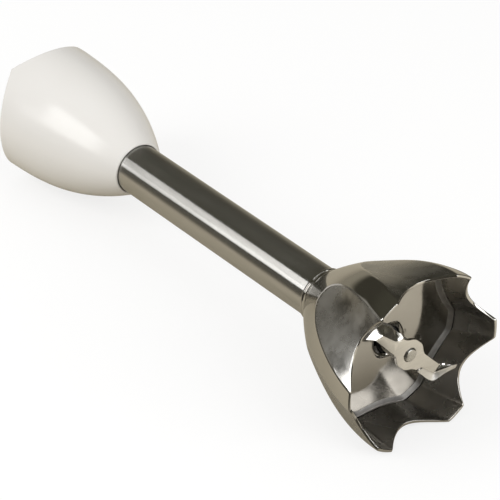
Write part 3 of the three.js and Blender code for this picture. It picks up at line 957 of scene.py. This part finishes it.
def bend(start, corner, end, steps):
    """Points of a rounded bend, as a list of lines."""
    return [(1 - t) ** 2 * start + 2 * t * (1 - t) * corner + t ** 2 * end
            for t in np.linspace(0, 1, steps + 1)]


BEND_STEPS = 6
SHEET_STEPS = 8
STATIONS = 36


def wing_sheet(fold_points, edge_points, ground, thickness, edge_thickness):
    """Sheet that leaves the plate in a bend and ends in a ground edge.

    ground is the number of its last strips that are ground. Returns their faces as well.
    """
    raised = np.array([0, 0, BLADE_Z + BLADE_T / 2])
    fold, edge = (smooth_line(points, STATIONS) + raised for points in (fold_points, edge_points))
    outward = (edge - fold) * (1, 1, 0)
    outward /= np.linalg.norm(outward, axis=-1, keepdims=True)
    root = fold + 0.15 * outward
    lines = bend(fold - 0.25 * outward, root, root + 0.25 * (edge - root), BEND_STEPS)
    lines += [root + t * (edge - root) for t in np.linspace(0.25, 1, SHEET_STEPS + 1)[1:]]
    across_thickness = np.full(len(lines), thickness)
    across_thickness[-ground - 1:] = np.linspace(thickness, edge_thickness, ground + 1)
    points, faces = thick_sheet(np.stack(lines, axis=1), across_thickness)
    across = len(lines) - 1
    on_faces = 2 * across * (STATIONS - 1)
    return points, faces, [i for i in range(on_faces) if i % across >= across - ground]


def blade_plate():
    """Flat of the blade with its hub hole: a filled outline with small rounded edges."""
    round_off = 0.12
    data = bpy.data.curves.new("blade_outline", "CURVE")
    data.dimensions = "2D"
    data.fill_mode = "BOTH"
    data.extrude = BLADE_T / 2 - round_off
    data.bevel_depth = round_off
    data.bevel_resolution = 2
    data.offset = -round_off
    hole_r = SHAFT_R + 0.12
    hole = [(hole_r * math.cos(a), hole_r * math.sin(a))
            for a in np.linspace(0, -2 * math.pi, 48, endpoint=False)]
    for outline in (rounded(PLATE, steps=6), hole):
        spline = data.splines.new("POLY")
        spline.points.add(len(outline) - 1)
        spline.points.foreach_set("co", [v for x, y in outline for v in (x, y, 0, 1)])
        spline.use_cyclic_u = True
    drawn = bpy.data.objects.new("blade_outline", data)
    mesh = bpy.data.meshes.new_from_object(drawn)
    points = np.array([vertex.co for vertex in mesh.vertices]) + (0, 0, BLADE_Z + BLADE_T / 2)
    faces = [list(polygon.vertices) for polygon in mesh.polygons]
    bpy.data.objects.remove(drawn)
    return points, faces


def blade():
    """Pressed blade: a flat plate, one wing bent towards the rim, one towards the ceiling."""
    points, faces = blade_plate()
    ground = []
    whole = SHEET_STEPS + BEND_STEPS
    for wing in ((BAND_FOLD, BAND_EDGE, whole, WING_T, WING_EDGE_T),
                 (WEB_FOLD, WEB_EDGE, 0, WEB_T, WEB_T),
                 (FAR_FOLD, FAR_EDGE, 2, WING_T, WING_EDGE_T)):
        more, sheet, edge_faces = wing_sheet(*wing)
        ground += [len(faces) + index for index in edge_faces]
        faces += [[len(points) + v for v in face] for face in sheet]
        points = np.vstack([points, more])
    piece = link_mesh("pressed_blade", points, faces)
    add_materials(piece, "blade", "edge")
    for index in ground:
        piece.data.polygons[index].material_index = 1
    weld = piece.modifiers.new("weld", "WELD")
    weld.merge_threshold = 0.005 * MM  # joins the filled outline to its rounded edges
    soften_edges(piece, 0.1)
    dress(piece, SPINNER, "blade_steel", MATERIALS["blade"], "blade")
    piece.data.set_sharp_from_angle(angle=rad(32))
    return piece


# ---- CAD nodes that stay -----------------------------------------------------------------


def keep_node(name, material, width=0.12):
    """A carried-over CAD node: its own shape, with softened edges and a finished material."""
    node = frame["nodes"][name]
    node.data.materials.clear()
    add_materials(node, material)
    soften_edges(node, width)


def keep_inner_nodes():
    kept = {
        "lower_housing": "black", "lower_bush": "bronze", "upper_bush": "bronze",
        "steady_bush": "grey", "tube_o_ring": "rubber", "coupling_pin": "spring",
        "upper_washer": "small_steel", "lower_washer": "small_steel",
        "upper_circlip": "spring", "lower_circlip": "spring",
    }
    for name, material in kept.items():
        keep_node(name, material)


# ---- stage and light ---------------------------------------------------------------------


def switched(tree, ray_kind, shader, otherwise, output):
    """Shows a shader to one kind of ray, and another to the rest."""
    path = tree.nodes.new("ShaderNodeLightPath")
    mix = tree.nodes.new("ShaderNodeMixShader")
    tree.links.new(path.outputs[ray_kind], mix.inputs["Fac"])
    tree.links.new(otherwise, mix.inputs[1])
    tree.links.new(shader, mix.inputs[2])
    tree.links.new(mix.outputs["Shader"], output)


FLOOR_SEEN = (0.92, 0.92, 0.915, 1.0)
FLOOR_LIFT = 0.75  # share of the floor's brightness that shadows don't reach
TABLE_TAN = (0.46, 0.42, 0.335, 1.0)
# painted shade in the zones set below, and the dark past the table's near end
TABLE_DARK = (0.06, 0.055, 0.045, 1.0)
# painted light: a lighter zone of the table
TABLE_BRIGHT = (0.72, 0.67, 0.57, 1.0)
TABLE_EDGE = (-0.12, -0.17)  # where the table ends, on the near side
FRONT = (0.10, 0.13)  # where the table in front of the bell starts
FRONT_SHADE = (0.01, -0.03)  # it is painted light, with painted shade on the near side
OUTER = (0.132, 0.145)  # further out, the painted shade reaches past the middle
OUTER_SHADE = (0.035, 0.015)
BACK = (0.085, 0.11)  # the back, where painted shade lies between two places along the object
BACK_SHADE_START = (0.0, 0.03)
BACK_SHADE_END = (0.09, 0.12)
BACK_SHADE_SLANT = -0.8  # the painted shade reaches further out, the further back it is


def place_parts(tree, output="Object"):
    """The x, y and z of the shaded point, or of the direction for the world."""
    place = tree.nodes.new("ShaderNodeTexCoord")
    parts = tree.nodes.new("ShaderNodeSeparateXYZ")
    tree.links.new(place.outputs[output], parts.inputs["Vector"])
    return parts.outputs


def white_paper(tree):
    """What the camera sees of the floor: paper that is mostly lit from itself."""
    paper = tree.nodes.new("ShaderNodeBsdfDiffuse")
    paper.inputs["Color"].default_value = FLOOR_SEEN
    lit = tree.nodes.new("ShaderNodeEmission")
    seen = tree.nodes.new("ShaderNodeMixShader")
    seen.inputs["Fac"].default_value = FLOOR_LIFT
    tree.links.new(paper.outputs["BSDF"], seen.inputs[1])
    tree.links.new(lit.outputs["Emission"], seen.inputs[2])
    return seen.outputs["Shader"]


def near_side(tree, place):
    """The table up to the bell: tan with a dark edge, then painted light with painted shade on its
    near side.
    """
    # painted shade over painted light on the near side, ahead of the bell
    shaded = blended(tree, fade(tree, place["Y"], *FRONT_SHADE), TABLE_BRIGHT, TABLE_DARK)
    outer_shaded = blended(tree, fade(tree, place["Y"], *OUTER_SHADE), TABLE_BRIGHT, TABLE_DARK)
    ahead = blended(tree, fade(tree, place["X"], *OUTER), shaded, outer_shaded)
    beside = blended(tree, fade(tree, place["Y"], *TABLE_EDGE), TABLE_TAN, TABLE_DARK)
    return blended(tree, fade(tree, place["X"], *FRONT), beside, ahead)


def back_side(tree, place):
    """The table's back: tan, then painted shade with a slanted end, then painted light."""
    slanted = tree.nodes.new("ShaderNodeMath")
    slanted.operation = "MULTIPLY_ADD"
    slanted.inputs[1].default_value = BACK_SHADE_SLANT
    tree.links.new(place["Y"], slanted.inputs[0])
    tree.links.new(place["X"], slanted.inputs[2])
    # painted shade behind the bell, with painted light beyond its slanted end
    shaded = blended(tree, fade(tree, place["X"], *BACK_SHADE_START), TABLE_TAN, TABLE_DARK)
    return blended(tree, fade(tree, slanted.outputs["Value"], *BACK_SHADE_END), shaded, TABLE_BRIGHT)


def floor_material():
    """White paper for the camera; for the mirrors, a tan table with zones of painted shade and
    painted light.
    """
    material = bpy.data.materials.new("studio_floor")
    material.use_nodes = True
    tree = material.node_tree
    tree.nodes.clear()
    place = place_parts(tree)
    table = tree.nodes.new("ShaderNodeBsdfDiffuse")
    behind = fade(tree, place["Y"], *BACK)
    colour = blended(tree, behind, near_side(tree, place), back_side(tree, place))
    tree.links.new(colour, table.inputs["Color"])
    output = tree.nodes.new("ShaderNodeOutputMaterial")
    switched(tree, "Is Camera Ray", white_paper(tree), table.outputs["BSDF"],
             output.inputs["Surface"])
    return material


def add_floor():
    """Pale floor, which the steel mirrors as a warm table."""
    size = 4.0
    mesh = bpy.data.meshes.new("studio_floor")
    corners = [(-size, -size, 0), (size, -size, 0), (size, size, 0), (-size, size, 0)]
    mesh.from_pydata(corners, [], [[0, 1, 2, 3]])
    floor = bpy.data.objects.new("studio_floor", mesh)
    bpy.context.scene.collection.objects.link(floor)
    mesh.materials.append(floor_material())


def add_panel(name, centre, size_x, size_y, radiance, target, roll=0.0):
    """A soft rectangular lamp facing the target, with its long side level before the roll."""
    data = bpy.data.lights.new(name, "AREA")
    data.shape = "RECTANGLE"
    data.size = size_x
    data.size_y = size_y
    data.energy = radiance * math.pi * size_x * size_y
    panel = bpy.data.objects.new(name, data)
    bpy.context.scene.collection.objects.link(panel)
    back = (Vector(centre) - Vector(target)).normalized()
    level = Vector((0, 0, 1)).cross(back).normalized()
    across = math.cos(roll) * level + math.sin(roll) * back.cross(level)
    turn = Matrix((across, back.cross(across), back)).transposed().to_4x4()
    panel.matrix_world = Matrix.Translation(Vector(centre)) @ turn
    panel.visible_camera = False


LAMP_DISTANCE = 0.9  # of the strip and the front softbox
STRIP_ELEVATION = rad(37.5)
STRIP_HALF = rad(18.2)
STRIP_LOW_X = -0.49
STRIP_HIGH_X = 0.03
STRIP_RADIANCE = 4.4
LOW_CENTRE = (-0.64, -0.85, 0.40)
LOW_TARGET = (LOW_CENTRE[0], -0.134, -0.144)
LOW_SIZE = (0.32, 0.24)
LOW_RADIANCE = 1.2
FRONT_AZIMUTH = rad(18)
FRONT_ELEVATION = rad(28)
FRONT_ROLL = rad(-32)
FRONT_SIZE = (0.94, 0.44)
FRONT_RADIANCE = 3.0


def add_lamps():
    """Softboxes: a strip parallel to the tube, a lower one, and one in front of the bell."""
    middle_x = (STRIP_LOW_X + STRIP_HIGH_X) / 2
    height = cad_box[1][2] / 2
    centre = (middle_x, -LAMP_DISTANCE * math.cos(STRIP_ELEVATION),
              LAMP_DISTANCE * math.sin(STRIP_ELEVATION) + height)
    add_panel("strip_softbox", centre, STRIP_HIGH_X - STRIP_LOW_X,
              2 * LAMP_DISTANCE * math.tan(STRIP_HALF), STRIP_RADIANCE, (middle_x, 0.0, height))
    add_panel("low_softbox", LOW_CENTRE, *LOW_SIZE, LOW_RADIANCE, LOW_TARGET)
    bell = Vector((cad_box[1][0], 0.0, height))
    way = Vector((math.cos(FRONT_ELEVATION) * math.cos(FRONT_AZIMUTH),
                  math.cos(FRONT_ELEVATION) * math.sin(FRONT_AZIMUTH),
                  math.sin(FRONT_ELEVATION)))
    add_panel("front_softbox", bell + LAMP_DISTANCE * way, *FRONT_SIZE, FRONT_RADIANCE, bell,
              FRONT_ROLL)


WORLD_SEEN = (1.0, 0.99, 0.97, 1.0)
WORLD_SEEN_STRENGTH = 0.71
ROOM_DARK = (0.055, 0.051, 0.038, 1.0)
ROOM_HIGH = (0.075, 0.072, 0.054, 1.0)
ROOM_WARM = (0.31, 0.285, 0.225, 1.0)
ROOM_SIDE = (0.13, 0.123, 0.105, 1.0)
ROOM_LEFT = (0.30, 0.29, 0.262, 1.0)

# Where the room's colour changes: each pair is a range of one part of the direction looked in.
WALL_TOP = (0.42, 0.68)
LOW_WALL = (0.22, 0.09)
BACK_WALL = (-0.05, 0.1)
FRONT_WALL = (-0.1, 0.3)
LEFT_TOP = (0.44, 0.36)
LEFT_SIDE = (-0.05, -0.2)
LEFT_END = (-0.68, -0.80)


def room_colour(tree):
    """The room that the steel mirrors: dark, lit on the left, with a warm low wall behind."""
    way = place_parts(tree, "Generated")
    wall = blended(tree, fade(tree, way["Z"], *WALL_TOP), ROOM_DARK, ROOM_HIGH)
    lit = blended(tree, fade(tree, way["Z"], *LEFT_TOP), wall, ROOM_LEFT)
    lit = blended(tree, fade(tree, way["Y"], *LEFT_SIDE), wall, lit)
    lit = blended(tree, fade(tree, way["X"], *LEFT_END), wall, lit)
    low = blended(tree, fade(tree, way["Y"], *BACK_WALL), ROOM_SIDE, ROOM_WARM)
    low = blended(tree, fade(tree, way["X"], *FRONT_WALL), low, ROOM_DARK)
    return blended(tree, fade(tree, way["Z"], *LOW_WALL), lit, low)


def add_world():
    """Even white for the camera and matt surfaces; the room for mirrors."""
    world = bpy.data.worlds.new("studio")
    bpy.context.scene.world = world
    world.use_nodes = True
    tree = world.node_tree
    tree.nodes.clear()
    seen = tree.nodes.new("ShaderNodeBackground")
    seen.inputs["Color"].default_value = WORLD_SEEN
    seen.inputs["Strength"].default_value = WORLD_SEEN_STRENGTH
    room = tree.nodes.new("ShaderNodeBackground")
    tree.links.new(room_colour(tree), room.inputs["Color"])
    output = tree.nodes.new("ShaderNodeOutputWorld")
    switched(tree, "Is Glossy Ray", room.outputs["Background"], seen.outputs["Background"],
             output.inputs["Surface"])


def set_view():
    view = bpy.context.scene.view_settings
    view.view_transform = "Standard"
    view.look = "None"
    view.exposure = 0.0
    view.gamma = 1.0


def build():
    guard_bell()
    ceiling_plate()
    neck_ring()
    shaft_tube()
    collar_shell()
    socket_liner()
    upper_housing()
    for number, place in enumerate(screw_places(), start=1):
        flange_screw(number, place)
    lip_seal()
    drive_shaft()
    drive_coupling()
    blade_spacer()
    blade()
    keep_inner_nodes()
    add_floor()
    add_lamps()
    add_world()
    set_view()


build()
